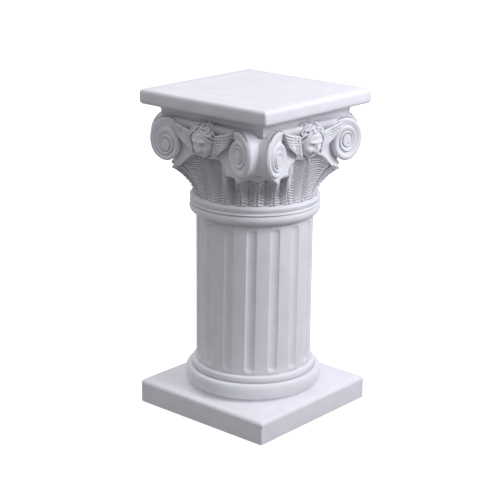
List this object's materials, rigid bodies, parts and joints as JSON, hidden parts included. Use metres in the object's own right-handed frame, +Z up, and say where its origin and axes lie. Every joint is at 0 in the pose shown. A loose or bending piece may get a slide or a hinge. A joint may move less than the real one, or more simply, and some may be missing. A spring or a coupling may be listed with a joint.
{
  "type": "fluted column pedestal",
  "caption": "Small column pedestal: fluted round shaft between a square base plate and a square top plate, with a carved capital of volutes, winged cherub heads and palm leaves.",
  "frame": {"origin": "middle of the underside of the base plate", "axes": "+Z up along the shaft; +X and -Y square to two neighbouring sides, which are alike"},
  "size_m": [0.1532, 0.1532, 0.3],
  "materials": {
    "cast_resin": "matte"
  },
  "bodies": {
    "root": {"column_pedestal": "cast_resin"}
  },
  "joints": []
}
